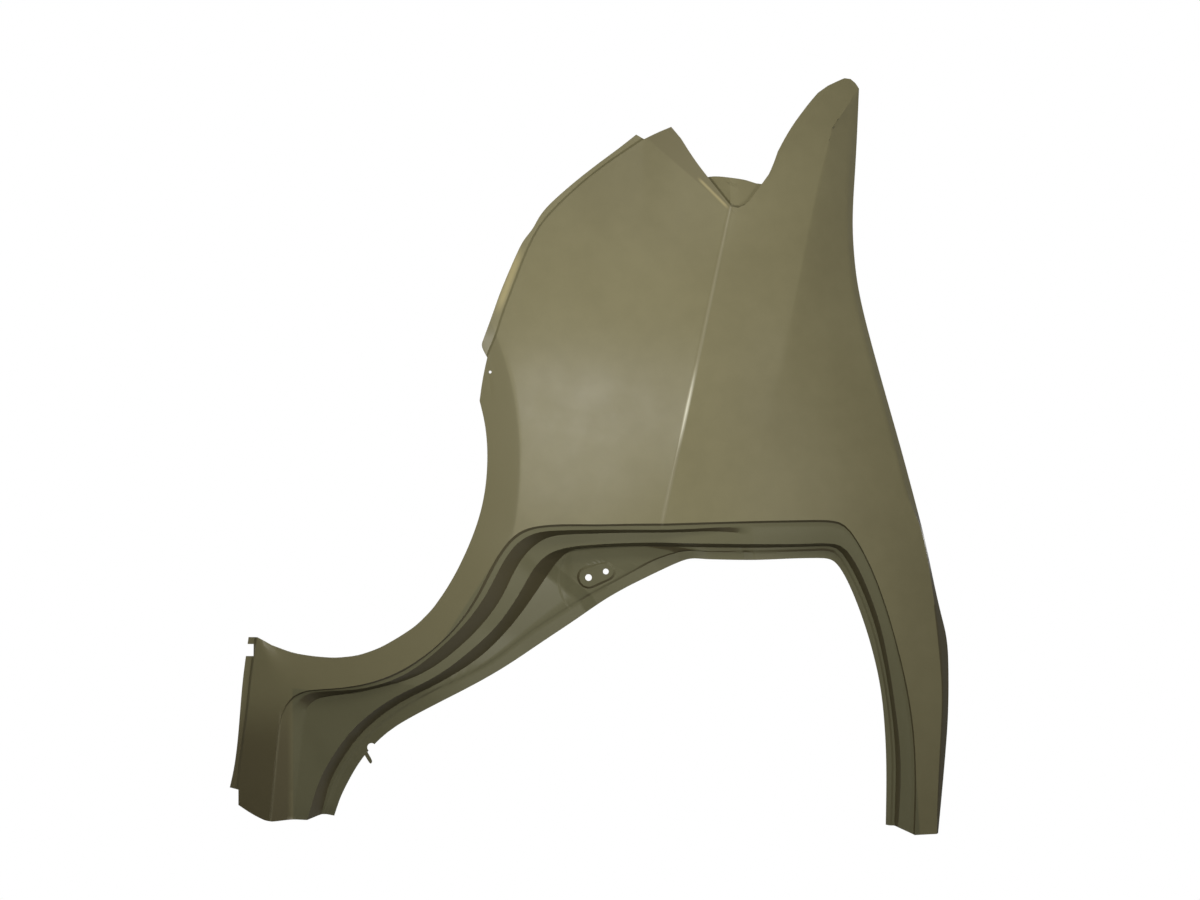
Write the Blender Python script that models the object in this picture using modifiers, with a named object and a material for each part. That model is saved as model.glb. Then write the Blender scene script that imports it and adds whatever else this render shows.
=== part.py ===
"""Rear fender of a small hatchback, the right-hand one, as one deep-drawn sheet of steel.

The panel stands as it does on the car: X runs forward, Z up, and the outer skin faces -Y.
The origin lies on the inner face of the sill flange, where the panel is welded on.
Its long side holds the wheel arch, its front the rear door's opening with a stepped rebate,
its tail the notch for the lamp, and its upper arm is the roof rail beside the door.

The sheet is a loft. A rail is a smooth line on the panel, seen from the side, and every rail
is cut into the same number of stations. The first rails follow the door's opening, from its
edge up the steps to the rim of the skin, and rows of places carry the skin on to its far
side. The depth of each place comes from the section of the body and from the steps.
"""
import math

import bmesh
import bpy
from mathutils import Vector
from mathutils.bvhtree import BVHTree

# The whole panel, in metres
PANEL_LENGTH = 1.244
PANEL_HEIGHT = 1.177
SHEET_THICKNESS = 0.0008

# The section of the body: how far each form leans or stands from the widest place
TAIL_TUCK = 0.100
ROOF_LEAN = 0.150
SILL_TUCK = 0.050
BELT_RIDGE = 0.004
BELT_RIDGE_WIDTH = 0.060
BELT_TURN_REACH = 0.150
ARCH_FALL = 0.012
LAMP_FACET_TURN = math.radians(14)

# The rebate of the door's opening, each step measured inboard
RIM_STEP = 0.004
FIRST_STEP = 0.030
SECOND_STEP = 0.032
LEDGE_FALL = 0.001
CREASE_FALL = 0.002
CREASE_WIDTH = 0.0045

# The turned edges
ARCH_LIP = 0.012
LAMP_LIP = 0.010
SILL_JOGGLE = 0.002
SILL_JOGGLE_WIDTH = 0.004
BUMPER_JOGGLE = 0.003
BUMPER_JOGGLE_WIDTH = 0.004
BUMPER_FLANGE_RISE = 0.001

# The striker pad in the rebate: a round boss that runs on to a second, smaller hole
BOSS_HEIGHT = 0.0025
BOSS_RADIUS = 0.015
BOSS_TAIL_RADIUS = 0.012
BOSS_SLOPE_RUN = 0.004
STRIKER_HOLE = 0.0110
PIN_HOLE = 0.0095

# The locating hole beside the arch
ARCH_HOLE = 0.0045

# The notches of the sill flange and the little bent tab on the opening's edge
SILL_NOTCH_LENGTH = 0.0195
SILL_NOTCH_HEIGHT = 0.040
TAB_LENGTH = 0.018
TAB_WIDTH = 0.007
TAB_HEADING = math.radians(30)
TAB_BEND = math.radians(8)
TAB_BITE = 0.014

# The primer
PRIMER_COLOUR = (0.205, 0.188, 0.105, 1.0)
PRIMER_ROUGHNESS = 0.42

# How long the cutters are across the sheet, how far they run past it, and what is merged
CUTTER_LENGTH = 0.400
OVERRUN = 0.030
MERGE_DISTANCE = 0.00005

# Shares of the panel's length (from the tail) and height (from the sill), one pair a point
OPENING_EDGE_SHARES = [
    (0.971, 0.145), (0.953, 0.151), (0.936, 0.159), (0.913, 0.172), (0.895, 0.184),
    (0.883, 0.195), (0.859, 0.220), (0.834, 0.266), (0.815, 0.305), (0.795, 0.346),
    (0.773, 0.386), (0.739, 0.439), (0.713, 0.481), (0.702, 0.497), (0.693, 0.511),
    (0.685, 0.524), (0.672, 0.548), (0.660, 0.573), (0.649, 0.597), (0.637, 0.625),
    (0.633, 0.640), (0.634, 0.663), (0.635, 0.727), (0.633, 0.791), (0.633, 0.831),
    (0.634, 0.838), (0.640, 0.845), (0.657, 0.856), (0.698, 0.874), (0.740, 0.889),
    (0.804, 0.905), (0.877, 0.912), (0.927, 0.913), (0.985, 0.912),
]
FLANGE_CREASE_SHARES = [
    (0.969, 0.134), (0.955, 0.139), (0.934, 0.146), (0.908, 0.160), (0.887, 0.173),
    (0.874, 0.186), (0.847, 0.216), (0.821, 0.256), (0.802, 0.295), (0.785, 0.334),
    (0.764, 0.373), (0.732, 0.415), (0.698, 0.471), (0.688, 0.488), (0.680, 0.503),
    (0.673, 0.517), (0.659, 0.544), (0.646, 0.569), (0.635, 0.591), (0.625, 0.622),
    (0.623, 0.639), (0.624, 0.662), (0.625, 0.726), (0.624, 0.791), (0.623, 0.831),
    (0.624, 0.839), (0.628, 0.845), (0.638, 0.852), (0.656, 0.862), (0.687, 0.877),
    (0.732, 0.894), (0.808, 0.911), (0.887, 0.920), (0.927, 0.920), (0.986, 0.918),
]
SECOND_STEP_FOOT_SHARES = [
    (0.969, 0.127), (0.951, 0.132), (0.927, 0.139), (0.903, 0.152), (0.880, 0.168),
    (0.864, 0.181), (0.841, 0.207), (0.817, 0.245), (0.803, 0.278), (0.784, 0.313),
    (0.764, 0.346), (0.725, 0.388), (0.678, 0.425), (0.653, 0.442), (0.640, 0.452),
    (0.631, 0.461), (0.624, 0.471), (0.620, 0.486), (0.618, 0.519), (0.617, 0.571),
    (0.617, 0.601), (0.618, 0.641), (0.619, 0.724), (0.618, 0.791), (0.617, 0.831),
    (0.618, 0.841), (0.623, 0.849), (0.633, 0.857), (0.651, 0.867), (0.682, 0.882),
    (0.727, 0.899), (0.805, 0.916), (0.887, 0.926), (0.927, 0.926), (0.986, 0.924),
]
SECOND_STEP_TOP_SHARES = [
    (0.976, 0.108), (0.957, 0.114), (0.929, 0.123), (0.902, 0.137), (0.876, 0.155),
    (0.859, 0.169), (0.836, 0.195), (0.810, 0.237), (0.798, 0.266), (0.783, 0.295),
    (0.762, 0.324), (0.724, 0.369), (0.680, 0.402), (0.653, 0.417), (0.640, 0.427),
    (0.628, 0.441), (0.621, 0.458), (0.617, 0.479), (0.614, 0.518), (0.612, 0.571),
    (0.612, 0.601), (0.613, 0.640), (0.614, 0.724), (0.614, 0.791), (0.613, 0.831),
    (0.615, 0.844), (0.618, 0.855), (0.628, 0.864), (0.647, 0.874), (0.678, 0.888),
    (0.724, 0.905), (0.804, 0.921), (0.885, 0.932), (0.927, 0.933), (0.988, 0.929),
]
FIRST_STEP_FOOT_SHARES = [
    (0.975, 0.087), (0.950, 0.090), (0.889, 0.096), (0.847, 0.099), (0.832, 0.105),
    (0.819, 0.117), (0.814, 0.132), (0.811, 0.161), (0.806, 0.190), (0.798, 0.226),
    (0.786, 0.265), (0.762, 0.303), (0.725, 0.346), (0.681, 0.381), (0.651, 0.393),
    (0.638, 0.402), (0.627, 0.411), (0.616, 0.423), (0.606, 0.440), (0.602, 0.461),
    (0.600, 0.514), (0.599, 0.569), (0.599, 0.600), (0.598, 0.639), (0.592, 0.722),
]
FIRST_STEP_TOP_SHARES = [
    (0.978, 0.060), (0.950, 0.064), (0.877, 0.071), (0.841, 0.075), (0.827, 0.083),
    (0.816, 0.096), (0.807, 0.120), (0.806, 0.157), (0.804, 0.186), (0.796, 0.215),
    (0.786, 0.244), (0.760, 0.281), (0.720, 0.326), (0.674, 0.361), (0.638, 0.378),
    (0.625, 0.388), (0.613, 0.399), (0.604, 0.413), (0.598, 0.431), (0.596, 0.458),
    (0.595, 0.514), (0.595, 0.569), (0.595, 0.600), (0.594, 0.639), (0.590, 0.722),
]
RIM_SHARES = [
    (0.977, 0.056), (0.950, 0.059), (0.877, 0.065), (0.841, 0.070), (0.824, 0.078),
    (0.810, 0.093), (0.804, 0.117), (0.803, 0.154), (0.798, 0.186), (0.790, 0.215),
    (0.779, 0.241), (0.757, 0.276), (0.723, 0.314), (0.683, 0.343), (0.643, 0.363),
    (0.626, 0.373), (0.613, 0.384), (0.603, 0.395), (0.594, 0.411), (0.590, 0.431),
    (0.588, 0.458), (0.588, 0.514), (0.587, 0.569), (0.587, 0.600), (0.586, 0.639),
    (0.584, 0.722), (0.583, 0.780), (0.583, 0.837), (0.586, 0.849), (0.593, 0.860),
    (0.613, 0.874), (0.649, 0.893), (0.695, 0.911), (0.761, 0.931), (0.838, 0.948),
    (0.917, 0.954), (0.998, 0.952),
]
FAR_SIDE_SHARES = [
    (0.956, 0.013), (0.936, 0.013), (0.898, 0.017), (0.836, 0.026), (0.784, 0.032),
    (0.736, 0.039), (0.740, 0.047), (0.752, 0.071), (0.760, 0.107), (0.763, 0.141),
    (0.760, 0.179), (0.747, 0.215), (0.717, 0.264), (0.677, 0.299), (0.628, 0.327),
    (0.576, 0.348), (0.530, 0.357), (0.478, 0.358), (0.445, 0.353), (0.417, 0.346),
    (0.390, 0.354), (0.370, 0.358), (0.356, 0.365), (0.340, 0.372), (0.314, 0.380),
    (0.292, 0.389), (0.244, 0.408), (0.216, 0.421), (0.193, 0.435), (0.153, 0.476),
    (0.117, 0.522), (0.083, 0.575),
]
FACET_LINE_SHARES = [
    (0.083, 0.575), (0.092, 0.591), (0.113, 0.616), (0.140, 0.649), (0.159, 0.673),
    (0.168, 0.683), (0.172, 0.695),
]
LAMP_EDGE_BELOW_SHARES = [
    (0.083, 0.575), (0.073, 0.596), (0.065, 0.611), (0.082, 0.626), (0.108, 0.643),
    (0.133, 0.663), (0.148, 0.675), (0.161, 0.686), (0.172, 0.695),
]
LAMP_EDGE_ABOVE_SHARES = [
    (0.172, 0.695), (0.174, 0.703), (0.171, 0.712), (0.163, 0.722), (0.151, 0.731),
    (0.142, 0.738), (0.124, 0.751), (0.100, 0.760), (0.069, 0.778), (0.045, 0.796),
    (0.018, 0.820), (0.004, 0.846), (0.000, 0.859), (0.006, 0.869), (0.014, 0.875),
]
ROOF_FOLD_SHARES = [
    (0.014, 0.875), (0.058, 0.866), (0.111, 0.861), (0.167, 0.857), (0.189, 0.857),
    (0.268, 0.864), (0.327, 0.877), (0.413, 0.902), (0.486, 0.923), (0.567, 0.946),
    (0.585, 0.957), (0.615, 0.966), (0.669, 0.976), (0.720, 0.983), (0.777, 0.989),
    (0.818, 0.991), (0.884, 0.988), (0.938, 0.985), (0.997, 0.983),
]
ROOF_EDGE_SHARES = [
    (0.014, 0.875), (0.060, 0.873), (0.113, 0.870), (0.167, 0.866), (0.196, 0.865),
    (0.268, 0.871), (0.327, 0.885), (0.413, 0.910), (0.486, 0.932), (0.567, 0.955),
    (0.589, 0.961), (0.625, 0.970), (0.674, 0.981), (0.714, 0.991), (0.740, 0.998),
    (0.792, 1.000), (0.845, 0.999), (0.896, 0.995), (0.938, 0.991), (0.996, 0.985),
]
SILL_EDGE_SHARES = [
    (0.933, 0.001), (0.908, 0.007), (0.871, 0.012), (0.837, 0.015), (0.792, 0.019),
    (0.736, 0.027),
]
BUMPER_EDGE_SHARES = [
    (0.355, 0.349), (0.340, 0.355), (0.314, 0.365), (0.282, 0.377), (0.231, 0.400),
    (0.214, 0.409), (0.202, 0.421), (0.181, 0.432), (0.149, 0.467), (0.119, 0.506),
    (0.095, 0.540), (0.077, 0.564),
]
FLARE_LINE_SHARES = [
    (0.603, 0.395), (0.562, 0.400), (0.491, 0.404), (0.445, 0.400), (0.382, 0.388),
    (0.340, 0.372),
]
BELT_LINE_SHARES = [
    (0.587, 0.600), (0.541, 0.609), (0.465, 0.628), (0.359, 0.653), (0.254, 0.675),
    (0.204, 0.688), (0.172, 0.695),
]
SHOULDER_LINE_SHARES = [
    (0.584, 0.722), (0.495, 0.735), (0.407, 0.757), (0.293, 0.784), (0.188, 0.806),
    (0.107, 0.826), (0.040, 0.848), (0.014, 0.875),
]
ARCH_CENTRE_SHARE = (0.500, 0.068)

# Where each rail passes the stops that all rails share, as places in its list: the sill's
# end, the sill flange's end, the sill's corner and its end, the arch's end, the flare, the
# bumper flange's end, the lamp pocket, the belt line, the pocket again, the tail's tip, the
# shoulder, the roof corner and the end of the roof rail. Between two stops the stations
# are evenly spread.
EDGE_STOPS = (0, 1, 3.2, 5.4, 13, 14, 18, 19, 20, 21, 21.8, 22, 26, 33)
CREASE_STOPS = (0, 1, 3.2, 5.4, 13, 14, 18, 19, 20, 21, 21.8, 22, 26, 34)
FIRST_STEP_STOPS = (0, 1, 4, 6, 15, 16, 20, 21, 22, 23, 23.8, 24)
RIM_STOPS = (0, 1, 4, 6, 16, 17, 21, 22, 23, 24, 24.8, 25, 29, 36)
FAR_SIDE_STOPS = (0, 1, 5, 6.5, 21, 23, 31)
STATIONS = (1, 9, 5, 20, 2, 20, 6, 4, 6, 11, 4, 16, 20)
(SILL_END, SILL_FLANGE_END, SILL_CORNER, CORNER_END, ARCH_END, FLARE, BUMPER_FLANGE_END,
 POCKET_BELOW, BELT, POCKET_ABOVE, TAIL_TIP, SHOULDER, ROOF_CORNER, RAIL_END) = range(14)
FINENESS = 20
SKIN_ROWS = 9
POCKET_ROWS = 3
EVENING_ROUNDS = 40
BOSS_SIDES = 24
HOLE_SIDES = 32

# How tall the two steps of the rebate are along the rails: a stop, then a share of the step
FIRST_STEP_HEIGHT_SHARES = [
    (SILL_END, 0.45), (SILL_CORNER, 0.35), (CORNER_END, 0.40), (CORNER_END + 0.3, 0.40),
    (CORNER_END + 0.7, 0.90), (ARCH_END, 1.00), (FLARE, 0.92), (BUMPER_FLANGE_END, 0.75),
    (BELT, 0.57), (SHOULDER, 0.00), (RAIL_END, 0.00),
]
SECOND_STEP_HEIGHT_SHARES = [
    (SILL_END, 0.75), (SILL_CORNER, 0.70), (CORNER_END + 0.4, 0.60), (ARCH_END, 1.00),
    (FLARE, 0.92), (BUMPER_FLANGE_END, 0.83), (BELT, 0.73), (SHOULDER, 0.55),
    (RAIL_END, 0.45),
]
RIM_STEP_SHARE = 0.35
LEDGE_SHARES = (0.45, 0.75)

# Where the forms of the section begin and fade, as shares of length and height
TAIL_SPAN_SHARE = 0.42
LEAN_POWER = 1.6
SILL_POWER = 3.0
BELT_TURN = 0.10
BELT_FADE_SHARES = (0.587, 0.500)
SHOULDER_TURN = 0.42
SHOULDER_FADE_SHARES = (0.584, 0.120)
FLARE_FADE_STATIONS = 8
ROOF_FLANGE_TURN = math.radians(50)

# Ends and small places
SILL_END_SHARES = [(0.977, 0.056), (0.976, 0.050), (0.967, 0.031), (0.956, 0.013)]
POCKET_TOP_SHARES = [
    (0.133, 0.663), (0.132, 0.673), (0.134, 0.694), (0.137, 0.716), (0.141, 0.729),
    (0.142, 0.738),
]
STRIKER_HOLE_SHARE = (0.658, 0.498)
PIN_HOLE_SHARE = (0.650, 0.522)
ARCH_HOLE_SHARE = (0.389, 0.362)
TAB_ROOT_SHARE = (0.888, 0.188)
TAB_BITE_SHARE = (0.881, 0.197)
SILL_NOTCH_SHARE = 0.753
SILL_SEAT_SHARE = (0.828, 0.0195)
TAB_MARGIN_SHARE = 0.1
TAB_TAPER_SHARES = ((0.70, 1.00), (0.92, 0.80), (1.00, 0.35))


def place(share):
    """A place on the panel seen from the side: X forward and Z up, from its two shares."""
    along, up = share
    return Vector((along * PANEL_LENGTH, up * PANEL_HEIGHT))


def ease(value, start, end):
    """Nought at start, one at end, with soft ends; it may run either way."""
    t = min(1.0, max(0.0, (value - start) / (end - start)))
    return t * t * (3 - 2 * t)


def between(table, at):
    """Reads a table of (place, value) pairs at any place, in straight runs."""
    for (a, low), (b, high) in zip(table, table[1:]):
        if at <= b:
            return low + (high - low) * max(0.0, (at - a) / (b - a))
    return table[-1][1]


def smooth_line(points, corners=()):
    """Dense places on a smooth curve through the points, an equal number for each span."""
    dense = [points[0].copy()]
    for k in range(len(points) - 1):
        a, b = points[k], points[k + 1]
        before = points[k - 1] if k > 0 and k not in corners else a + (a - b)
        after = points[k + 2] if k + 2 < len(points) and k + 1 not in corners else b + (b - a)
        span = (b - a).length
        out = (b - before) * span / ((b - a).length + (a - before).length)
        into = (after - a) * span / ((after - b).length + (b - a).length)
        for step in range(1, FINENESS + 1):
            t = step / FINENESS
            dense.append(a * (1 + 2 * t) * (1 - t) ** 2 + out * t * (1 - t) ** 2
                         + b * t * t * (3 - 2 * t) + into * t * t * (t - 1))
    return dense


def spread(line, count):
    """Cuts a dense line into equal lengths: count + 1 places with both ends."""
    reach = [0.0]
    for a, b in zip(line, line[1:]):
        reach.append(reach[-1] + (b - a).length)
    places, k = [], 0
    for step in range(count + 1):
        goal = reach[-1] * step / count
        while k < len(line) - 2 and reach[k + 1] < goal:
            k += 1
        run = reach[k + 1] - reach[k]
        places.append(line[k].lerp(line[k + 1], (goal - reach[k]) / run if run else 0.0))
    return places


def rail(shares, stops, first=SILL_END, corners=()):
    """The stations of a rail: even ones between each two of its stops."""
    line = smooth_line([place(share) for share in shares], corners)
    marks = [round(stop * FINENESS) for stop in stops]
    stations = []
    for k in range(len(stops) - 1):
        part = spread(line[marks[k]:marks[k + 1] + 1], STATIONS[first + k])
        stations.extend(part if not stations else part[1:])
    return stations


def stop_at(stop):
    """The number of the station that lies at a stop."""
    return sum(STATIONS[:stop])


def stop_of(station):
    """Where a station lies among the stops, as a running number."""
    for stop, count in enumerate(STATIONS):
        if station <= count:
            return stop + station / count
        station -= count
    return len(STATIONS)


def fair(stations, rounds=2):
    """Evens a rail out: each station moves toward the middle of its neighbours."""
    for _ in range(rounds):
        middle = [(a + 2 * b + c) / 4 for a, b, c in zip(stations, stations[1:], stations[2:])]
        stations = [stations[0]] + middle + [stations[-1]]
    return stations


def coons(bottom, top, left, right):
    """Fills four sides with columns of places, from the bottom rail to the top one."""
    columns = []
    for i, (low, high) in enumerate(zip(bottom, top)):
        s = i / (len(bottom) - 1)
        column = []
        for j, (start, end) in enumerate(zip(left, right)):
            t = j / (len(left) - 1)
            corners = (bottom[0] * (1 - s) * (1 - t) + bottom[-1] * s * (1 - t)
                       + top[0] * (1 - s) * t + top[-1] * s * t)
            column.append(low * (1 - t) + high * t + start * (1 - s) + end * s - corners)
        columns.append(column)
    return columns


def evened(field):
    """Spreads a grid of places evenly between its sides, so that no cell of it folds over."""
    for _ in range(EVENING_ROUNDS):
        for i in range(1, len(field) - 1):
            for j in range(1, len(field[i]) - 1):
                ends = field[i - 1][j] + field[i + 1][j]
                sides = field[i][j - 1] + field[i][j + 1]
                run = (field[i + 1][j] - field[i - 1][j]) / 2
                rise = (field[i][j + 1] - field[i][j - 1]) / 2
                twist = (field[i + 1][j + 1] - field[i - 1][j + 1]
                         - field[i + 1][j - 1] + field[i - 1][j - 1]) / 2
                pull = rise.length_squared * ends + run.length_squared * sides
                pull -= run.dot(rise) * twist
                field[i][j] = pull / (2 * (rise.length_squared + run.length_squared))
    return field


def height_on(line, along):
    """The height of a crease at a distance along the panel, run on straight past its ends."""
    runs = list(zip(line, line[1:]))
    for a, b in runs:
        if min(a.x, b.x) <= along <= max(a.x, b.x):
            return a.y + (b.y - a.y) * (along - a.x) / (b.x - a.x)
    a, b = runs[0] if along > line[0].x else runs[-1]
    return a.y + (b.y - a.y) * (along - a.x) / (b.x - a.x)


BELT_LINE = smooth_line([place(share) for share in BELT_LINE_SHARES])
SHOULDER_LINE = smooth_line([place(share) for share in SHOULDER_LINE_SHARES])
FLARE_LINE = smooth_line([place(share) for share in FLARE_LINE_SHARES])
ARCH_CENTRE = place(ARCH_CENTRE_SHARE)


def section_depth(spot):
    """How far inboard the skin lies at a place, from the section of the body."""
    along = spot.x / PANEL_LENGTH
    depth = TAIL_TUCK * max(0.0, 1 - along / TAIL_SPAN_SHARE) ** 2
    belt = height_on(BELT_LINE, spot.x)
    rise = spot.y - belt
    sharp = ease(along, *BELT_FADE_SHARES)
    depth -= BELT_RIDGE * sharp * math.exp(-abs(rise) / BELT_RIDGE_WIDTH)
    if rise < 0:
        return depth + SILL_TUCK * min(1.0, -rise / belt) ** SILL_POWER
    depth += BELT_TURN * sharp * rise * math.exp(-rise / BELT_TURN_REACH)
    depth += ROOF_LEAN * (rise / (PANEL_HEIGHT - belt)) ** LEAN_POWER
    past = max(0.0, spot.y - height_on(SHOULDER_LINE, spot.x))
    return depth + SHOULDER_TURN * ease(along, *SHOULDER_FADE_SHARES) * past


def arch_fall(spot, reaches, arch_radius):
    """How far the skin falls inboard between the flare's crest and the wheel arch."""
    arm = spot - ARCH_CENTRE
    reach = between(reaches, math.atan2(arm.x, arm.y))
    return ARCH_FALL * min(1.0, max(0.0, (reach - arm.length) / (reach - arch_radius)))


def at_depth(spot, depth):
    """A point of the sheet: the place seen from the side, and its depth inboard."""
    return Vector((spot.x, depth, spot.y))


def skin_fields(rim, far):
    """The skin seen from the side: fields of places that meet on the sharp lines."""
    seams = {
        SILL_END: smooth_line([place(share) for share in SILL_END_SHARES]),
        FLARE: FLARE_LINE,
        BELT: BELT_LINE,
        SHOULDER: SHOULDER_LINE,
    }
    columns = []
    stops = (SILL_END, SILL_CORNER, FLARE, BELT, SHOULDER, ROOF_CORNER, RAIL_END)
    for start, end in zip(stops, stops[1:]):
        sides = []
        for stop in (start, end):
            at = stop_at(stop)
            seam = spread(seams.get(stop, [rim[at], far[at]]), SKIN_ROWS)
            sides.append([rim[at]] + seam[1:-1] + [far[at]])
        a, b = stop_at(start), stop_at(end)
        field = evened(coons(rim[a:b + 1], far[a:b + 1], *sides))
        columns.extend(field if not columns else field[1:])
    return columns


def skin_columns(rim, far):
    """The skin's points, one column a station, from the rim to the far side."""
    first, last = stop_at(SILL_CORNER), stop_at(FLARE)
    border = rim[first:last] + FLARE_LINE
    arms = [spot - ARCH_CENTRE for spot in reversed(border)]
    reaches = [(math.atan2(arm.x, arm.y), arm.length) for arm in arms]
    arch_radius = min((spot - ARCH_CENTRE).length for spot in far[first + 1:stop_at(ARCH_END)])
    columns = []
    for station, column in enumerate(skin_fields(rim, far)):
        band = ease(station, first, first + FLARE_FADE_STATIONS) if station <= last else 0.0
        columns.append([
            at_depth(spot, section_depth(spot) + band * arch_fall(spot, reaches, arch_radius))
            for spot in column])
    return columns


def rebate_columns(rim):
    """The stepped rebate's points, one column a station, from the opening's edge to the rim."""
    edge = fair(rail(OPENING_EDGE_SHARES, EDGE_STOPS))
    crease = fair(rail(FLANGE_CREASE_SHARES, CREASE_STOPS))
    second_foot = fair(rail(SECOND_STEP_FOOT_SHARES, CREASE_STOPS))
    second_top = fair(rail(SECOND_STEP_TOP_SHARES, CREASE_STOPS))
    first_foot = fair(rail(FIRST_STEP_FOOT_SHARES, FIRST_STEP_STOPS))
    first_top = fair(rail(FIRST_STEP_TOP_SHARES, FIRST_STEP_STOPS))
    ledge_start, ledge_end = stop_at(SHOULDER), stop_at(ROOF_CORNER)
    columns = []
    for station, rim_spot in enumerate(rim):
        stop = stop_of(station)
        foot = second_top[station].lerp(rim_spot, LEDGE_SHARES[0])
        top = second_top[station].lerp(rim_spot, LEDGE_SHARES[1])
        if station < len(first_top):
            settled = ease(station, stop_at(POCKET_ABOVE), ledge_start)
            foot = first_foot[station].lerp(foot, settled)
            top = first_top[station].lerp(top, settled)
        base = section_depth(rim_spot)
        first = FIRST_STEP * between(FIRST_STEP_HEIGHT_SHARES, stop)
        second = SECOND_STEP * between(SECOND_STEP_HEIGHT_SHARES, stop)
        under_rim = base + RIM_STEP
        ledge = under_rim + LEDGE_FALL + first
        pad = ledge + LEDGE_FALL + second
        flange = pad + CREASE_FALL
        columns.append([
            at_depth(edge[station], flange),
            at_depth(crease[station], flange),
            joggled(at_depth(crease[station], flange), second_foot[station], CREASE_WIDTH, pad),
            at_depth(second_foot[station], pad),
            at_depth(second_top[station], ledge + LEDGE_FALL),
            at_depth(second_top[station].lerp(foot, 0.5), ledge + LEDGE_FALL / 2),
            at_depth(foot, ledge),
            at_depth(top, under_rim + LEDGE_FALL),
            at_depth(rim_spot.lerp(top, RIM_STEP_SHARE), under_rim),
        ])
    return columns


def loft(mesh, columns):
    """Quads between neighbouring columns of points."""
    rows = [[mesh.verts.new(point) for point in column] for column in columns]
    for left, right in zip(rows, rows[1:]):
        for low, high, high_next, low_next in zip(left, left[1:], right[1:], right):
            mesh.faces.new((low, low_next, high_next, high))


def strip(mesh, *rails):
    """A loft across rails that hold one point for each station."""
    loft(mesh, [list(points) for points in zip(*rails)])


def pushed(points, depth):
    """The same points moved inboard."""
    return [point + Vector((0, depth, 0)) for point in points]


def add_edge_flanges(mesh, columns, facet_edge):
    """The turned edges round the far side: sill, arch, bumper, lamp and roof."""
    far = [column[-1] for column in columns]
    stops = [stop_at(stop) for stop in range(RAIL_END + 1)]

    fold = far[stops[SILL_FLANGE_END]:stops[SILL_CORNER] + 1]
    sill_edge = rail(SILL_EDGE_SHARES, (0, 5), SILL_FLANGE_END)
    plane = max(point.y for point in fold) + SILL_JOGGLE
    strip(mesh, fold,
          [joggled(point, spot, SILL_JOGGLE_WIDTH, plane) for point, spot in zip(fold, sill_edge)],
          [at_depth(spot, plane) for spot in sill_edge])

    arch = far[stops[SILL_CORNER]:stops[ARCH_END] + 1]
    strip(mesh, arch, pushed(arch, ARCH_LIP))

    fold = far[stops[ARCH_END]:stops[BUMPER_FLANGE_END] + 1]
    bumper_edge = rail(BUMPER_EDGE_SHARES, (0, 1, 11), ARCH_END)
    strip(mesh, fold,
          [joggled(point, spot, BUMPER_JOGGLE_WIDTH, point.y + BUMPER_JOGGLE)
           for point, spot in zip(fold, bumper_edge)],
          [at_depth(spot, point.y + BUMPER_JOGGLE - BUMPER_FLANGE_RISE)
           for point, spot in zip(fold, bumper_edge)])

    below = facet_edge[:STATIONS[BUMPER_FLANGE_END] + 1]
    strip(mesh, below, pushed(below, LAMP_LIP))
    pocket = facet_edge[STATIONS[BUMPER_FLANGE_END]:] + far[stops[BELT] + 1:stops[POCKET_ABOVE] + 1]
    floor = pushed(pocket, LAMP_LIP)
    strip(mesh, pocket, floor)
    top = spread(smooth_line([place(share) for share in POCKET_TOP_SHARES]), len(floor) - 1)
    loft(mesh, [[low.lerp(at_depth(spot, low.y), row / POCKET_ROWS)
                 for row in range(POCKET_ROWS + 1)] for low, spot in zip(floor, top)])
    above = far[stops[POCKET_ABOVE]:stops[SHOULDER] + 1]
    strip(mesh, above, pushed(above, LAMP_LIP))

    fold = far[stops[SHOULDER]:]
    edge = rail(ROOF_EDGE_SHARES, (0, 10, 19), SHOULDER)
    turned = [at_depth(spot, point.y + math.tan(ROOF_FLANGE_TURN)
                       * (spot - Vector((point.x, point.z))).length)
              for point, spot in zip(fold, edge)]
    strip(mesh, fold, turned)


def joggled(point, spot, width, depth):
    """The foot of a joggle: a little way from the fold toward the flange's edge."""
    start = Vector((point.x, point.z))
    run = spot - start
    return at_depth(start + run * min(0.5, width / run.length), depth)


def add_tab(mesh):
    """Draws the little bent tab out of the opening's edge."""
    root = place(TAB_ROOT_SHARE)
    border = [edge for edge in mesh.edges if edge.is_boundary]
    edge = min(border, key=lambda edge: (sum((vert.co.xz for vert in edge.verts), Vector((0, 0)))
                                         / 2 - root).length)
    start, end = (vert.co.copy() for vert in edge.verts)
    cut = bmesh.ops.subdivide_edges(mesh, edges=[edge], cuts=2)
    ends = [item for item in cut["geom_inner"] if isinstance(item, bmesh.types.BMVert)]
    along = (end - start).normalized()
    ends.sort(key=lambda vert: vert.co.dot(along))
    reach = (at_depth(root, start.y) - start).dot(along)
    room = TAB_WIDTH / 2 * (1 + TAB_MARGIN_SHARE)
    middle = start + along * min((end - start).length - room, max(room, reach))
    heading = Vector((math.cos(TAB_HEADING) * math.cos(TAB_BEND), math.sin(TAB_BEND),
                      math.sin(TAB_HEADING) * math.cos(TAB_BEND)))
    lip = mesh.edges.get(ends)
    for vert, side in zip(ends, (-1, 1)):
        vert.co = middle + along * side * TAB_WIDTH / 2
    for reach, width in TAB_TAPER_SHARES:
        drawn = bmesh.ops.extrude_edge_only(mesh, edges=[lip])["geom"]
        tips = [item for item in drawn if isinstance(item, bmesh.types.BMVert)]
        tips.sort(key=lambda vert: vert.co.dot(along))
        for vert, side in zip(tips, (-1, 1)):
            vert.co = middle + heading * TAB_LENGTH * reach + along * side * width * TAB_WIDTH / 2
        lip = mesh.edges.get(tips)


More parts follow.
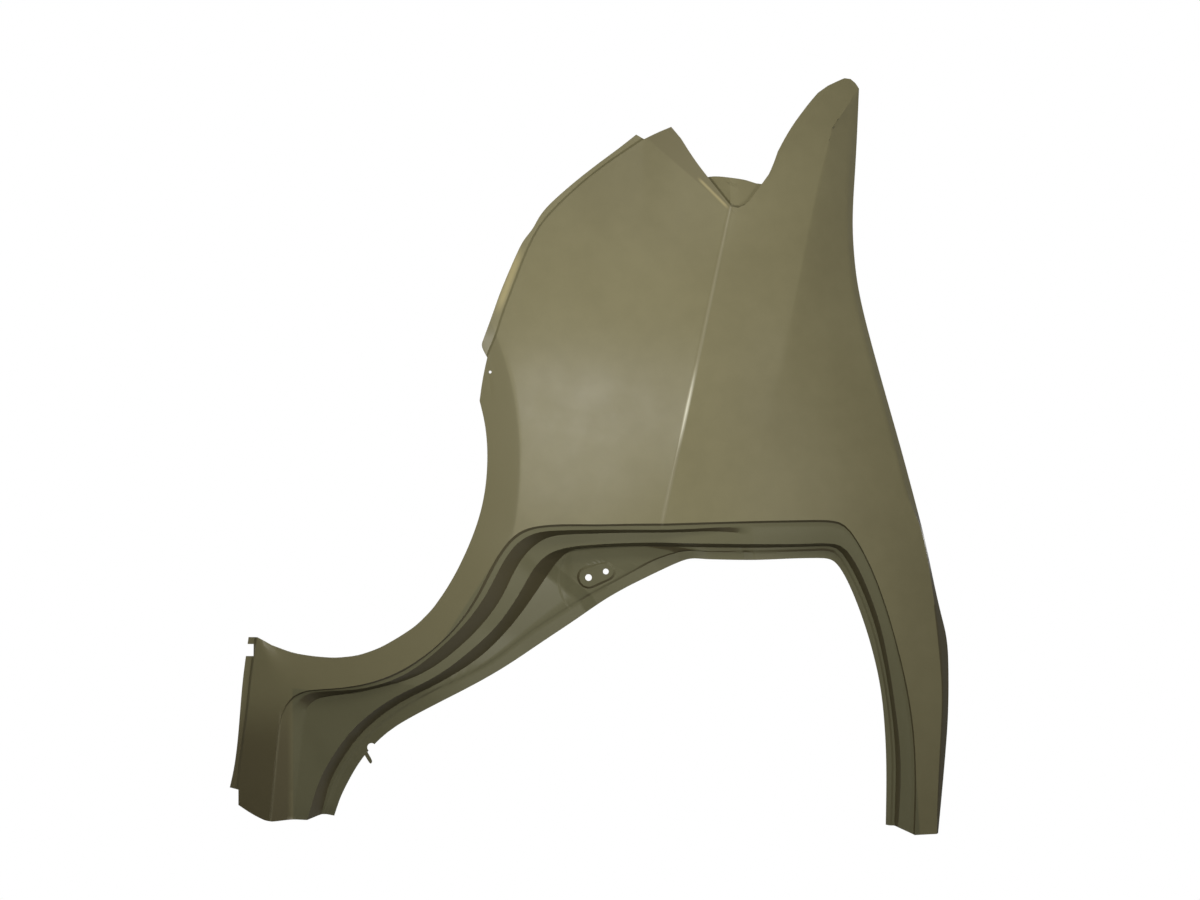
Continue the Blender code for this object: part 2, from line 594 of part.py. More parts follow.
def fender_sheet():
    """The whole sheet as one open surface, its faces looking outboard."""
    rim = fair(rail(RIM_SHARES, RIM_STOPS))
    far = rail(FAR_SIDE_SHARES, FAR_SIDE_STOPS, corners=(FAR_SIDE_STOPS[SILL_CORNER],))
    far += rail(FACET_LINE_SHARES, (0, 4, 6), BUMPER_FLANGE_END)[1:]
    far += rail(LAMP_EDGE_ABOVE_SHARES, (0, 5, 11, 14), BELT)[1:]
    far += rail(ROOF_FOLD_SHARES, (0, 10, 18), SHOULDER)[1:]
    skin = skin_columns(rim, far)
    columns = [inner + outer for inner, outer in zip(rebate_columns(rim), skin)]

    mesh = bmesh.new()
    loft(mesh, columns)
    facet_foot = [column[-1] for column in skin[stop_at(BUMPER_FLANGE_END):stop_at(BELT) + 1]]
    lamp_edge = rail(LAMP_EDGE_BELOW_SHARES, (0, 5, 8), BUMPER_FLANGE_END, corners=(2,))
    facet_edge = [
        at_depth(spot, point.y + math.tan(LAMP_FACET_TURN) * (spot - point.xz).length)
        for point, spot in zip(facet_foot, lamp_edge)]
    strip(mesh, facet_foot, facet_edge)
    add_edge_flanges(mesh, columns, facet_edge)
    bmesh.ops.remove_doubles(mesh, verts=mesh.verts, dist=MERGE_DISTANCE)
    add_tab(mesh)
    bmesh.ops.recalc_face_normals(mesh, faces=mesh.faces)
    if sum(face.normal.y * face.calc_area() for face in mesh.faces) > 0:
        bmesh.ops.reverse_faces(mesh, faces=mesh.faces)
    return mesh


def steel_primer():
    """Satin olive primer over the pressed steel."""
    material = bpy.data.materials.new("olive_primer")
    material.use_nodes = True
    shader = material.node_tree.nodes["Principled BSDF"]
    shader.inputs["Base Color"].default_value = PRIMER_COLOUR
    shader.inputs["Roughness"].default_value = PRIMER_ROUGHNESS
    material.diffuse_color = PRIMER_COLOUR
    return material


def keep_as_cutter(cutter, cutters):
    """Shows a cutter as wires only and keeps it out of the part."""
    for collection in list(cutter.users_collection):
        collection.objects.unlink(cutter)
    cutters.objects.link(cutter)
    cutter.display_type = "WIRE"
    cutter.hide_render = True
    return cutter


def hit_from_outside(sheet, share):
    """The point and the normal of the sheet's outer face at a place on the panel."""
    point, normal, _, _ = sheet.ray_cast(at_depth(place(share), -CUTTER_LENGTH), Vector((0, 1, 0)))
    return point, normal


def drill(name, point, axis, diameter, cutters):
    """A round cutter through a point of the panel."""
    bpy.ops.mesh.primitive_cylinder_add(
        vertices=HOLE_SIDES, radius=diameter / 2, depth=CUTTER_LENGTH,
        location=point, rotation=axis.to_track_quat("Z", "Y").to_euler())
    cutter = bpy.context.object
    cutter.name = name
    return keep_as_cutter(cutter, cutters)


def boss_form(name, sheet, inset, foot, cutters):
    """A mound with a flat top round both holes of the striker, square to the pad under it.

    The inset lowers the whole mound, and the foot is how far it runs on below the pad's face.
    """
    seats = [hit_from_outside(sheet, share) for share in (STRIKER_HOLE_SHARE, PIN_HOLE_SHARE)]
    up = sum((seat[1] for seat in seats), Vector()).normalized()
    along = up.cross(Vector((0, 0, 1))).normalized()
    across = up.cross(along)
    form = bmesh.new()
    for seat, radius in zip(seats, (BOSS_RADIUS, BOSS_TAIL_RADIUS)):
        for level in (BOSS_HEIGHT - inset, -foot):
            reach = radius + BOSS_SLOPE_RUN * (1 - (level + inset) / BOSS_HEIGHT)
            for side in range(BOSS_SIDES):
                turn = math.tau * side / BOSS_SIDES
                form.verts.new(seat[0] + up * level + along * math.cos(turn) * reach
                               + across * math.sin(turn) * reach)
    bmesh.ops.convex_hull(form, input=form.verts)
    loose = [vert for vert in form.verts if not vert.link_faces]
    bmesh.ops.delete(form, geom=loose, context="VERTS")
    bmesh.ops.recalc_face_normals(form, faces=form.faces)
    data = bpy.data.meshes.new(name)
    form.to_mesh(data)
    form.free()
    cutter = bpy.data.objects.new(name, data)
    bpy.context.scene.collection.objects.link(cutter)
    return keep_as_cutter(cutter, cutters)


def notch_cutter(cutters):
    """A block that bites the notch below the sill flange's top end."""
    bpy.ops.mesh.primitive_cube_add(
        size=1, location=(SILL_NOTCH_SHARE * PANEL_LENGTH, 0, (SILL_NOTCH_HEIGHT - OVERRUN) / 2))
    cutter = bpy.context.object
    cutter.name = "sill_notch_cutter"
    cutter.dimensions = (SILL_NOTCH_LENGTH, CUTTER_LENGTH, SILL_NOTCH_HEIGHT + OVERRUN)
    return keep_as_cutter(cutter, cutters)


def new_collection(name):
    collection = bpy.data.collections.new(name)
    bpy.context.scene.collection.children.link(collection)
    return collection


def build():
    for item in list(bpy.data.objects):
        bpy.data.objects.remove(item, do_unlink=True)
    parts = new_collection("rear_fender")
    cutters = new_collection("cutters")

    sheet = fender_sheet()
    outer_face = BVHTree.FromBMesh(sheet)
    seat = hit_from_outside(outer_face, SILL_SEAT_SHARE)[0] + Vector((0, SHEET_THICKNESS, 0))
    bmesh.ops.translate(sheet, vec=-seat, verts=sheet.verts)
    data = bpy.data.meshes.new("fender_panel")
    sheet.to_mesh(data)
    sheet.free()
    panel = bpy.data.objects.new("fender_panel", data)
    parts.objects.link(panel)
    data.materials.append(steel_primer())

    wall = panel.modifiers.new("sheet thickness", "SOLIDIFY")
    wall.thickness = SHEET_THICKNESS
    wall.offset = -1
    wall.use_even_offset = True
    mound = boss_form("striker_boss", outer_face, 0, SHEET_THICKNESS / 2, cutters)
    hollow = boss_form("striker_boss_hollow", outer_face, SHEET_THICKNESS, BOSS_HEIGHT, cutters)
    drills = [
        hollow,
        drill("tab_bite_cutter", at_depth(place(TAB_BITE_SHARE), 0), Vector((0, 1, 0)),
              TAB_BITE, cutters),
        notch_cutter(cutters),
    ]
    holes = (("striker_hole", STRIKER_HOLE_SHARE, STRIKER_HOLE),
             ("pin_hole", PIN_HOLE_SHARE, PIN_HOLE), ("arch_hole", ARCH_HOLE_SHARE, ARCH_HOLE))
    for name, share, diameter in holes:
        drills.append(drill(name, *hit_from_outside(outer_face, share), diameter, cutters))
    for cutter in [mound] + drills:
        cutter.location -= seat
        cut = panel.modifiers.new(cutter.name, "BOOLEAN")
        cut.operation = "UNION" if cutter is mound else "DIFFERENCE"
        cut.solver = "EXACT"
        cut.object = cutter
    data.shade_smooth()
    data.set_sharp_from_angle(angle=math.radians(30))


build()
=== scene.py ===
# %% [markdown]
# # A pressed steel fender in olive primer
#
# The rear fender of a small hatchback is one sheet of steel, drawn in a press to the shape of
# the car's side and then primed in a satin olive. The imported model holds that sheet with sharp
# folds and flat faces. This lesson gives it the smooth sweep of a real pressing, its primer, and
# the light of a small studio. X runs forward on the car, Z up, and the outer skin faces -Y. The
# picture shows the panel lying on its tail, so the camera is rolled a quarter turn.

# %% Load the model
import math

import bmesh
import bpy
from mathutils import Matrix, Vector


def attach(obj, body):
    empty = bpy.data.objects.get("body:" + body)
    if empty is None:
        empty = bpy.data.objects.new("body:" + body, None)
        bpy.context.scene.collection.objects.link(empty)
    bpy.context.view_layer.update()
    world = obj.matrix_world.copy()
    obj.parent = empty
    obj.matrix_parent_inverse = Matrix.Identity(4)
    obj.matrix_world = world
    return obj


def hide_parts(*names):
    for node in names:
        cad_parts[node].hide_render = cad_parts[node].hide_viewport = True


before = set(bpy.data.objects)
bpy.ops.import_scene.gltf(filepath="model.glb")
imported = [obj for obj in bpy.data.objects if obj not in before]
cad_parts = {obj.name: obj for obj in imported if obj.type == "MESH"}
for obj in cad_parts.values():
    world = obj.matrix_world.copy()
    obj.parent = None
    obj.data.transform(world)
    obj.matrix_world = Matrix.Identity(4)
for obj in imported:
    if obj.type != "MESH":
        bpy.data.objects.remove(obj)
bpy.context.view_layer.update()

# %% [markdown]
# ## A copy of the sheet
#
# The loaded mesh is loose triangles, so each face would keep its own corners and nothing could
# be rounded. A copy has its doubles merged, and its triangles paired to quads, because a
# subdivision surface follows rows of quads and makes ripples on triangles. The loft of the
# sheet runs in such rows, so the pairs come back as they were.

# %% Copy and merge
MERGE_DISTANCE = 0.00002
PAIRING_TURN = math.radians(50)
PAIRING_SKEW = math.radians(120)
bpy.ops.object.select_all(action="DESELECT")
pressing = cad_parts["fender_panel"]
pressing.select_set(True)
bpy.context.view_layer.objects.active = pressing
bpy.ops.object.duplicate()
sheet = bpy.context.object
sheet.name = "primed_sheet"
sheet.data.name = "primed_sheet"
bpy.ops.object.mode_set(mode="EDIT")
bpy.ops.mesh.select_all(action="SELECT")
bpy.ops.mesh.remove_doubles(threshold=MERGE_DISTANCE)
bpy.ops.mesh.tris_convert_to_quads(face_threshold=PAIRING_TURN, shape_threshold=PAIRING_SKEW)
bpy.ops.object.mode_set(mode="OBJECT")
print("faces after pairing", len(sheet.data.polygons))

# %% [markdown]
# ## Crisp rims and tight folds
#
# A press can't fold steel to a knife edge, but on a panel more than a metre long a fold of a
# few millimetres reads as a line, and the trimmed rim of the sheet is square. Bevels would meet
# the thin rim and break, so rims and folds both get a full crease. A subdivision surface then
# makes the wide skin between them one smooth sweep, and the shading breaks at the folds, so that
# each wall of the rebate stays clear of the flats beside it.

# %% Find rims and folds
RIM_WIDTH = 0.0014
RIM_TURN = math.radians(55)
FOLD_TURN = math.radians(8)
FOLD_CREASE = 1.0


def turn_at(edge):
    """The angle between the two faces that share an edge."""
    return edge.calc_face_angle(0.0) if len(edge.link_faces) == 2 else math.pi


def is_rim(face):
    """True for the narrow faces where the sheet is trimmed or drilled."""
    width = face.calc_area() / max(edge.calc_length() for edge in face.edges)
    return width < RIM_WIDTH and sum(turn_at(edge) > RIM_TURN for edge in face.edges) >= 2


def crease_edges(wanted, amount):
    """Selects edges of the sheet by a test and gives them a crease."""
    bpy.ops.object.mode_set(mode="EDIT")
    bpy.ops.mesh.select_mode(type="EDGE")
    bpy.ops.mesh.select_all(action="DESELECT")
    cage = bmesh.from_edit_mesh(sheet.data)
    for edge in cage.edges:
        edge.select = wanted(edge)
    bmesh.update_edit_mesh(sheet.data)
    count = sum(edge.select for edge in cage.edges)
    bpy.ops.transform.edge_crease(value=amount)
    bpy.ops.object.mode_set(mode="OBJECT")
    return count


rims = crease_edges(lambda edge: turn_at(edge) > RIM_TURN
                    and any(is_rim(face) for face in edge.link_faces), 1.0)
folds = crease_edges(lambda edge: turn_at(edge) > FOLD_TURN
                     and not any(is_rim(face) for face in edge.link_faces), FOLD_CREASE)
print("rim edges", rims, "fold edges", folds)

# %% Round the sheet
SMOOTH_TURN = math.radians(14)
rounding = sheet.modifiers.new("rounded pressing", "SUBSURF")
rounding.levels = 2
rounding.render_levels = 2
bpy.ops.object.select_all(action="DESELECT")
sheet.select_set(True)
bpy.context.view_layer.objects.active = sheet
bpy.ops.object.modifier_apply(modifier=rounding.name)
bpy.ops.object.shade_smooth_by_angle(angle=SMOOTH_TURN)
sheet.data.calc_loop_triangles()
print("triangles after rounding", len(sheet.data.loop_triangles))

# %% [markdown]
# ## Where the small forms lie
#
# Three forms of the pressing are finer than the faces of the sheet: the raised bead along the
# belt line, the round step at the end of the striker's pad, and a short rib on the floor of the
# lamp pocket. Each is a height that the primer's material reads from the place on the panel.
# The primer's colour also has places of its own: the lines where a highlight is painted on, and
# the arcs and rows of corners where one painted shade ends and the next begins. All places are
# measured once, in the panel's own coordinates, and a few small helpers turn them into nodes.

# %% Places of the small forms, the painted shades and the painted highlights
FORWARD, UP = Vector((1.0, 0.0, 0.0)), Vector((0.0, 0.0, 1.0))
BEAD_START, BEAD_END = Vector((-0.2996, 0.0, 0.6829)), Vector((-0.8164, 0.0, 0.7946))
BEAD_WIDTH = 0.0090
BEAD_HEIGHT = 0.0007
PAD_CENTRE = Vector((-0.2075, 0.0, 0.5819))
PAD_RADIUS = 0.0701
PAD_STEP_WIDTH = 0.0045
PAD_END_FROM, PAD_END_TO = -0.62 * PAD_RADIUS, -0.86 * PAD_RADIUS
PAD_DEPTH = 0.0016
RIB_START, RIB_END = Vector((-0.8579, 0.0, 0.7873)), Vector((-0.8490, 0.0, 0.8036))
RIB_WIDTH = 0.0055
RIB_HEIGHT = 0.0010
GLINT_CENTRE, GLINT_REACH = 0.193, 0.085
# Lines where a highlight is painted on: the flange at the tail, the edge of the notch and the
# sill's crease.
FLANGE_START, FLANGE_END = Vector((-0.6500, 0.0, 0.4170)), Vector((-0.7373, 0.0, 0.4498))
FLANGE_WIDTH = 0.020
FACET_START, FACET_END = Vector((-0.8600, 0.0, 0.7445)), Vector((-0.8156, 0.0, 0.7885))
FACET_WIDTH = 0.0075
SILL_START, SILL_END = Vector((0.0078, 0.0, 0.0618)), Vector((0.1900, 0.0, 0.0443))
SILL_WIDTH = 0.0070
# Borders of the painted shades: the rebate inside its rim, the sill end, the walls by the door,
# the band past the flare and the notch's facet.
ARCH_CENTRE, ARCH_RIM_RADIUS, ARCH_TOP = Vector((-0.322, 0.0, 0.125)), 0.293, -0.230
BELT_RIM = ((-0.230, 0.404), (-0.268, 0.429), (-0.291, 0.461), (-0.297, 0.492), (-0.305, 0.962))
ROOF_RIM = ((-0.305, 0.962), (-0.301, 0.976), (-0.268, 1.006), (-0.223, 1.028), (-0.165, 1.050),
            (-0.084, 1.073), (0.013, 1.093), (0.110, 1.100))
SILL_RIM, SILL_RIM_FROM, SILL_RIM_TO = 0.080, 0.085, 0.070
SILL_END_FROM, SILL_END_TO = -0.04, 0.07
WALL_LOW_FROM, WALL_LOW_TO = 0.060, 0.085
DOOR_SIDE_FROM, DOOR_SIDE_TO = -0.325, -0.305
TONE_FROM, TONE_TO = -0.001, 0.003
FLARE_CENTRE, FLARE_RADIUS = Vector((-0.399, 0.0, -0.117)), 0.570
FACET_RIM = ((-0.820, 0.781), (-0.855, 0.741), (-0.975, 0.600), (-1.000, 0.663), (-0.830, 0.784))
print("bead length", round((BEAD_END - BEAD_START).length, 3), "m")

# %% Start the primer and its node helpers
FAR_INSIDE = 10.0
primer = bpy.data.materials.new("olive_primer_satin")
primer.use_nodes = True
nodes, links = primer.node_tree.nodes, primer.node_tree.links
shader = nodes["Principled BSDF"]
place = nodes.new("ShaderNodeTexCoord").outputs["Object"]


def plug(node, number, value):
    """Links an output to a socket of a node, or writes a plain value there."""
    if isinstance(value, bpy.types.NodeSocket):
        links.new(value, node.inputs[number])
    else:
        node.inputs[number].default_value = value


def maths(operation, *values):
    """A Math node on up to three values."""
    node = nodes.new("ShaderNodeMath")
    node.operation = operation
    for number, value in enumerate(values):
        plug(node, number, value)
    return node.outputs[0]


def ramp(value, start, end, low=0.0, high=1.0):
    """Goes softly from low at start to high at end."""
    node = nodes.new("ShaderNodeMapRange")
    node.interpolation_type = "SMOOTHSTEP"
    for number, item in enumerate((value, start, end, low, high)):
        plug(node, number, item)
    return node.outputs[0]


def along_axis(axis, start):
    """How far a point lies along an axis from a start."""
    node = nodes.new("ShaderNodeVectorMath")
    node.operation = "DOT_PRODUCT"
    plug(node, 0, place)
    plug(node, 1, axis)
    return maths("SUBTRACT", node.outputs["Value"], axis.dot(start))


def ridge(start, end, width):
    """The share of a straight ridge: one on its crest, nought beside it and past its ends."""
    axis = (end - start).normalized()
    side = Vector((-axis.z, 0.0, axis.x))
    run = along_axis(axis, start)
    offset = maths("ABSOLUTE", along_axis(side, start))
    length = (end - start).length
    ends = maths("MULTIPLY", ramp(run, -width, width), ramp(run, length + width, length - width))
    return maths("MULTIPLY", ramp(offset, width / 2, 0.0), ends)


def distance_to(centre):
    """How far a point lies from a centre, seen from the side of the car."""
    across = along_axis(FORWARD, centre)
    up = along_axis(UP, centre)
    return maths("SQRT", maths("ADD", maths("MULTIPLY", across, across),
                               maths("MULTIPLY", up, up)))


def inside_of(corners):
    """How far a point lies inward of a convex row of corners, given as forward and up."""
    depth = FAR_INSIDE
    for (forward_a, up_a), (forward_b, up_b) in zip(corners, corners[1:]):
        inward = Vector((up_b - up_a, 0.0, forward_a - forward_b)).normalized()
        depth = maths("MINIMUM", depth, along_axis(inward, Vector((forward_a, 0.0, up_a))))
    return depth


def grain(scale, detail, roughness=0.5):
    """A noise on the panel's own coordinates."""
    node = nodes.new("ShaderNodeTexNoise")
    links.new(place, node.inputs["Vector"])
    node.inputs["Scale"].default_value = scale
    node.inputs["Detail"].default_value = detail
    node.inputs["Roughness"].default_value = roughness
    return node.outputs["Fac"]


print("primer nodes so far", len(nodes))

# %% [markdown]
# ## The forms in relief
#
# The bead is a low round ridge, so its crest turns through the light and draws one thin bright
# line. The pad's step is a ring: the distance from the pad's centre, seen from the side, goes
# down over a few millimetres, and only its end toward the arch is kept. The rib is a short
# ridge. All three are added up in metres and given to one Bump node.

# %% Bead, step and rib
bead = ridge(BEAD_START, BEAD_END, BEAD_WIDTH)
inside_pad = ramp(distance_to(PAD_CENTRE), PAD_RADIUS, PAD_RADIUS - PAD_STEP_WIDTH)
pad_end = ramp(along_axis(UP, PAD_CENTRE), PAD_END_FROM, PAD_END_TO)
pad_step = maths("MULTIPLY", inside_pad, pad_end)
rib = ridge(RIB_START, RIB_END, RIB_WIDTH)
relief = maths("MULTIPLY", bead, BEAD_HEIGHT)
relief = maths("MULTIPLY_ADD", pad_step, -PAD_DEPTH, relief)
relief = maths("MULTIPLY_ADD", rib, RIB_HEIGHT, relief)
print("relief height", BEAD_HEIGHT, "m on the bead")

# %% [markdown]
# ## Satin olive primer
#
# Primer is never quite even: it pools a little darker in some places, dries a little paler in
# others, and its surface has a faint orange peel. A large soft noise moves the colour between
# two olives, a middle one moves the gloss, and two fine ones make the peel and the grain.
#
# Some of the shade and light of the panel's shape is painted into its colour. Each part that is
# turned or set back from the skin gets a darker olive as painted shade: the band round the wheel
# arch and the facet beside the notch a little, the rebate of the door and the end of the sill
# more, and the steep walls of the rebate's steps most. The folds of the panel are the borders of
# these painted shades. The arch band ends at an arc, and the rebate at its rim, which is given
# as rows of corners. The walls are found by the turn of the surface itself. On the crest of the
# bead, the crease at the sill, the edge of the notch and the flange at the tail, a pale olive is
# painted
# on as a highlight, brightest as a glint in the bead's middle. All this is on the outer side
# only:
# the inner side, which the camera doesn't see here, keeps the plain olive.

# %% Colour of the primer, with painted shade and painted highlights
OLIVE_DARK = (0.190, 0.174, 0.096, 1.0)
OLIVE_PALE = (0.216, 0.199, 0.112, 1.0)
# The next three colours are painted highlights, and the five after them are painted shades.
OLIVE_HIGHLIGHT = (0.300, 0.280, 0.190, 1.0)
OLIVE_GLINT = (0.640, 0.630, 0.500, 1.0)
OLIVE_EDGE_HIGHLIGHT = (0.360, 0.315, 0.165, 1.0)
OLIVE_WALL_SHADE = (0.086, 0.074, 0.038, 1.0)
OLIVE_SILL_SHADE = (0.112, 0.098, 0.053, 1.0)
OLIVE_REBATE_SHADE = (0.143, 0.138, 0.080, 1.0)
OLIVE_ARCH_SHADE = (0.176, 0.162, 0.090, 1.0)
OLIVE_FACET_SHADE = (0.178, 0.161, 0.090, 1.0)
CLOUD_SHARE, POOL_SHARE = 0.35, 0.65
STEEP_FROM, STEEP_TO = 0.92, 0.80
OUTER_FROM, OUTER_TO = 0.0, -0.2
SILL_HIGHLIGHT_SHARE, BEAD_HIGHLIGHT_SHARE = 0.25, 0.55


def blend(share, first, second):
    """Mixes two colours."""
    node = nodes.new("ShaderNodeMix")
    node.data_type = "RGBA"
    links.new(share, node.inputs["Factor"])
    for name, colour in (("A", first), ("B", second)):
        socket = next(item for item in node.inputs if item.name == name and item.type == "RGBA")
        if isinstance(colour, bpy.types.NodeSocket):
            links.new(colour, socket)
        else:
            socket.default_value = colour
    return next(item for item in node.outputs if item.type == "RGBA")


def tone(depth, under, colour):
    """Lays a colour over another where the depth past a border is above nought."""
    return blend(ramp(depth, TONE_FROM, TONE_TO), under, colour)


pools = ramp(grain(5.0, 3.0), 0.35, 0.65)
cloud = ramp(grain(40.0, 4.0, 0.6), 0.25, 0.75)
plain = blend(maths("MULTIPLY_ADD", cloud, CLOUD_SHARE, maths("MULTIPLY", pools, POOL_SHARE)),
              OLIVE_DARK, OLIVE_PALE)
facing = nodes.new("ShaderNodeVectorMath")
facing.operation = "DOT_PRODUCT"
links.new(nodes["Texture Coordinate"].outputs["Normal"], facing.inputs[0])
facing.inputs[1].default_value = (0.0, 1.0, 0.0)
# Painted shade: the more the surface turns from the skin's plane, the more dark olive is laid on
# it below.
steep = ramp(maths("ABSOLUTE", facing.outputs["Value"]), STEEP_FROM, STEEP_TO)
outer = ramp(facing.outputs["Value"], OUTER_FROM, OUTER_TO)
forward = along_axis(FORWARD, Vector())
height = along_axis(UP, Vector())
# Painted shade: past the flare line, the band round the wheel arch gets a darker olive.
past_flare = maths("SUBTRACT", FLARE_RADIUS, distance_to(FLARE_CENTRE))
olive = tone(past_flare, plain, OLIVE_ARCH_SHADE)
# Painted shade: the facet beside the notch gets a darker olive.
olive = tone(inside_of(FACET_RIM), olive, OLIVE_FACET_SHADE)
# Painted shade: the rebate of the door, inside its rim, gets a darker olive.
past_arch = maths("MINIMUM", maths("SUBTRACT", distance_to(ARCH_CENTRE), ARCH_RIM_RADIUS),
                  maths("SUBTRACT", forward, ARCH_TOP))
past_rim = maths("MAXIMUM", past_arch, inside_of(BELT_RIM))
past_rim = maths("MINIMUM", past_rim, inside_of(ROOF_RIM))
past_rim = maths("MINIMUM", past_rim, maths("SUBTRACT", height, SILL_RIM))
olive = tone(past_rim, olive, OLIVE_REBATE_SHADE)
# Painted shade: the steep walls of the rebate's steps, on the door side and above the sill, get
# a dark olive.
door_side = maths("MULTIPLY", ramp(forward, DOOR_SIDE_FROM, DOOR_SIDE_TO),
                  ramp(height, WALL_LOW_FROM, WALL_LOW_TO))
olive = blend(maths("MULTIPLY", steep, door_side), olive, OLIVE_WALL_SHADE)
# Painted shade: the end of the sill gets darker towards the front and below the rebate's rim.
sill_end_shade = maths("MULTIPLY", ramp(forward, SILL_END_FROM, SILL_END_TO),
                 ramp(height, SILL_RIM_FROM, SILL_RIM_TO))
olive = blend(sill_end_shade, olive, OLIVE_SILL_SHADE)
# Painted highlight: a paler olive along the crease at the sill and on the crest of the bead.
sill_crease_highlight = ridge(SILL_START, SILL_END, SILL_WIDTH)
olive = blend(maths("MULTIPLY", sill_crease_highlight, SILL_HIGHLIGHT_SHARE), olive, OLIVE_HIGHLIGHT)
olive = blend(maths("MULTIPLY", bead, BEAD_HIGHLIGHT_SHARE), olive, OLIVE_HIGHLIGHT)
# Painted highlight: a glint of pale olive on the middle of the bead.
bead_run = along_axis((BEAD_END - BEAD_START).normalized(), BEAD_START)
from_glint = maths("ABSOLUTE", maths("SUBTRACT", bead_run, GLINT_CENTRE))
glint = maths("MULTIPLY", bead, ramp(from_glint, GLINT_REACH, 0.0))
olive = blend(glint, olive, OLIVE_GLINT)
# Painted highlight: a pale line along the flange at the tail and along the edge of the notch.
flange_highlight = ridge(FLANGE_START, FLANGE_END, FLANGE_WIDTH)
facet_highlight = ridge(FACET_START, FACET_END, FACET_WIDTH)
olive = blend(maths("MAXIMUM", flange_highlight, facet_highlight), olive, OLIVE_EDGE_HIGHLIGHT)
links.new(blend(outer, plain, olive), shader.inputs["Base Color"])
print("olive", OLIVE_DARK[:3], "to", OLIVE_PALE[:3])

# %% Gloss and peel
ROUGH_LOW, ROUGH_HIGH, ROUGH_BEAD = 0.33, 0.38, 0.26
SPECULAR = 0.15
PEEL_SCALE, GRAIN_SCALE = 420.0, 2200.0
PEEL_HEIGHT = 0.000012
GRAIN_HEIGHT = 0.000004
rough = ramp(grain(14.0, 4.0, 0.6), 0.3, 0.7, ROUGH_LOW, ROUGH_HIGH)
rough = maths("MULTIPLY_ADD", bead, ROUGH_BEAD - (ROUGH_LOW + ROUGH_HIGH) / 2, rough)
links.new(rough, shader.inputs["Roughness"])
shader.inputs["Specular IOR Level"].default_value = SPECULAR
relief = maths("MULTIPLY_ADD", grain(PEEL_SCALE, 2.0), PEEL_HEIGHT, relief)
relief = maths("MULTIPLY_ADD", grain(GRAIN_SCALE, 1.0), GRAIN_HEIGHT, relief)
bump = nodes.new("ShaderNodeBump")
bump.inputs["Strength"].default_value = 1.0
bump.inputs["Distance"].default_value = 1.0
links.new(relief, bump.inputs["Height"])
links.new(bump.outputs["Normal"], shader.inputs["Normal"])
print("primer nodes", len(nodes))

# %% [markdown]
# ## The sheet takes its primer
#
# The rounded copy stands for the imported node, rides on the only body and takes the finish of
# the record's slot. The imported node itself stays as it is, hidden, for the simulation.

# %% Dress the sheet
sheet.data.materials.clear()
sheet.data.materials.append(primer)
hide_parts("fender_panel")
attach(sheet, "root")
print("sheet wears", sheet.data.materials[0].name)

# %% [markdown]
# ## Camera
#
# The picture was taken square to the panel from far off, so that one pixel is the same length
# everywhere on it. The panel's front points down in the picture and its roof to the right:
# the camera looks along +Y with its own up along -X. A long lens from sixteen metres gives the
# same flat view.

# %% Camera
PHOTO_CENTRE = Vector((-0.4194, 0.0, 0.5818))
CAMERA_DISTANCE = 16.0
METRES_A_PIXEL = 0.0016303
FRAME_PIXELS = 1200
camera_data = bpy.data.cameras.new("camera")
camera_data.sensor_width = 36.0
camera_data.lens = camera_data.sensor_width * CAMERA_DISTANCE / METRES_A_PIXEL / FRAME_PIXELS
camera = bpy.data.objects.new("camera", camera_data)
bpy.context.scene.collection.objects.link(camera)
turn = Matrix(((0, -1, 0), (0, 0, -1), (1, 0, 0)))
camera.matrix_world = (Matrix.Translation(PHOTO_CENTRE - Vector((0, CAMERA_DISTANCE, 0)))
                       @ turn.to_4x4())
bpy.context.scene.camera = camera
print("lens", round(camera_data.lens, 1), "mm")

# %% [markdown]
# ## Light
#
# Three lamps light the outer skin. The key is the smallest. It stands a metre in front of the
# middle of the panel, where the satin primer shows it as a soft bright spot, and the panel falls
# off from there toward the sill and the rail's end. The tail lamp stands off behind the tail, so
# that the steps of the rebate, which face the other way, stay dark. The roof lamp lifts the
# shoulder a little. A fourth, larger lamp lights the inner side for views from behind.

# %% Lamps
def area_lamp(name, spot, aim, size, power, colour):
    """A square lamp that faces a point and isn't seen itself."""
    data = bpy.data.lights.new(name, "AREA")
    data.size = size
    data.energy = power
    data.color = colour
    lamp = bpy.data.objects.new(name, data)
    lamp.location = spot
    lamp.rotation_euler = (Vector(aim) - Vector(spot)).to_track_quat("-Z", "Y").to_euler()
    lamp.visible_camera = False
    bpy.context.scene.collection.objects.link(lamp)
    print(name, power, "W")
    return lamp


area_lamp("key", (-0.50, -1.05, 0.50), (-0.50, 0.0, 0.50), 0.16, 6.1, (1.0, 0.98, 0.94))
area_lamp("tail", (-1.56, -1.30, 1.05), (-0.45, 0.0, 0.58), 0.60, 10.5, (1.0, 0.97, 0.90))
area_lamp("roof", (-0.45, -1.30, 1.75), (-0.45, 0.0, 0.58), 0.60, 4.0, (1.0, 0.96, 0.88))
area_lamp("back_fill", (-0.40, 2.5, 1.6), (-0.40, 0.0, 0.5), 1.6, 40.0, (1.0, 0.99, 0.97))

# %% [markdown]
# ## White room and pale floor
#
# The picture's background is plain white. The room shines white for the camera, in reflections
# and through clear things, and only dimly and a little warm for the light on the panel, so the
# panel's shades stay. The floor is pale and plain and takes the panel's shadow. A glow that only
# the camera sees lifts it toward the white of the room.

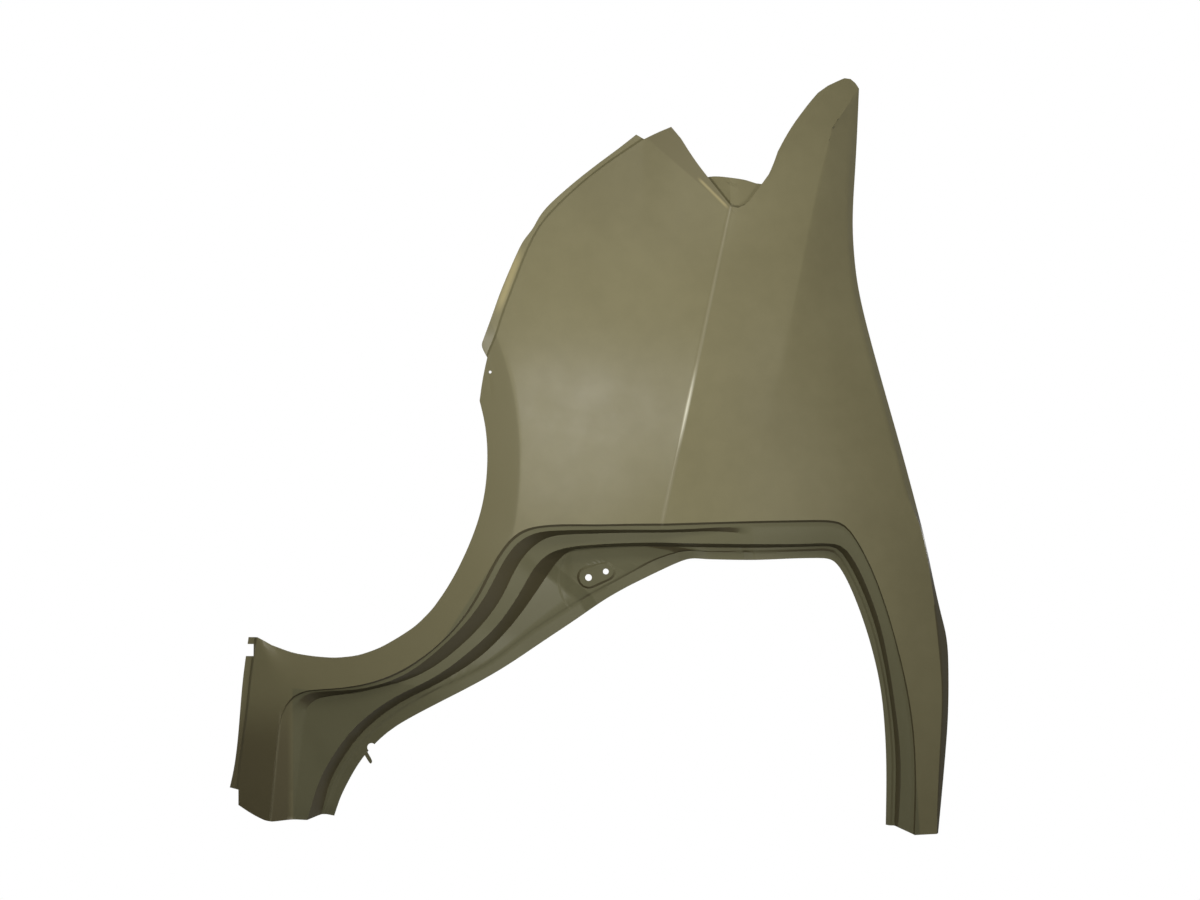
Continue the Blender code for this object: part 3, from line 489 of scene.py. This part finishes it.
# %% White room
scene = bpy.context.scene
scene.view_settings.view_transform = "Standard"
ROOM_LIGHT = 0.02
ROOM_WARM, ROOM_WHITE = (1.0, 0.92, 0.75, 1.0), (1.0, 1.0, 1.0, 1.0)
world = bpy.data.worlds.new("white_room")
scene.world = world
world.use_nodes = True
nodes, links = world.node_tree.nodes, world.node_tree.links
paths = nodes.new("ShaderNodeLightPath")
seen = maths("MAXIMUM", paths.outputs["Is Camera Ray"], paths.outputs["Is Transmission Ray"])
seen = maths("MAXIMUM", seen, paths.outputs["Is Glossy Ray"])
links.new(ramp(seen, 0.0, 1.0, ROOM_LIGHT, 1.0), nodes["Background"].inputs["Strength"])
links.new(blend(seen, ROOM_WARM, ROOM_WHITE), nodes["Background"].inputs["Color"])
print("room light", ROOM_LIGHT)

# %% Pale floor
FLOOR_HEIGHT = -0.75
FLOOR_GLOW = 0.80
FLOOR_ROUGHNESS = 0.85
FLOOR_LOW, FLOOR_HIGH = (0.86, 0.86, 0.85, 1.0), (0.90, 0.90, 0.89, 1.0)
bpy.ops.object.select_all(action="DESELECT")
bpy.ops.mesh.primitive_plane_add(size=1.0, location=(-0.42, -6.0, FLOOR_HEIGHT))
floor = bpy.context.object
floor.name = "pale_floor"
bpy.ops.transform.resize(value=(26.0, 22.0, 1.0))
bpy.ops.object.transform_apply(location=True, rotation=True, scale=True)
paint = bpy.data.materials.new("pale_floor_paint")
paint.use_nodes = True
nodes, links = paint.node_tree.nodes, paint.node_tree.links
shader = nodes["Principled BSDF"]
place = nodes.new("ShaderNodeTexCoord").outputs["Object"]
links.new(blend(ramp(grain(3.0, 3.0), 0.3, 0.7), FLOOR_LOW, FLOOR_HIGH),
          shader.inputs["Base Color"])
shader.inputs["Roughness"].default_value = FLOOR_ROUGHNESS
paths = nodes.new("ShaderNodeLightPath")
shader.inputs["Emission Color"].default_value = ROOM_WHITE
links.new(maths("MULTIPLY", paths.outputs["Is Camera Ray"], FLOOR_GLOW),
          shader.inputs["Emission Strength"])
floor.data.materials.append(paint)
print("floor at", FLOOR_HEIGHT, "m")
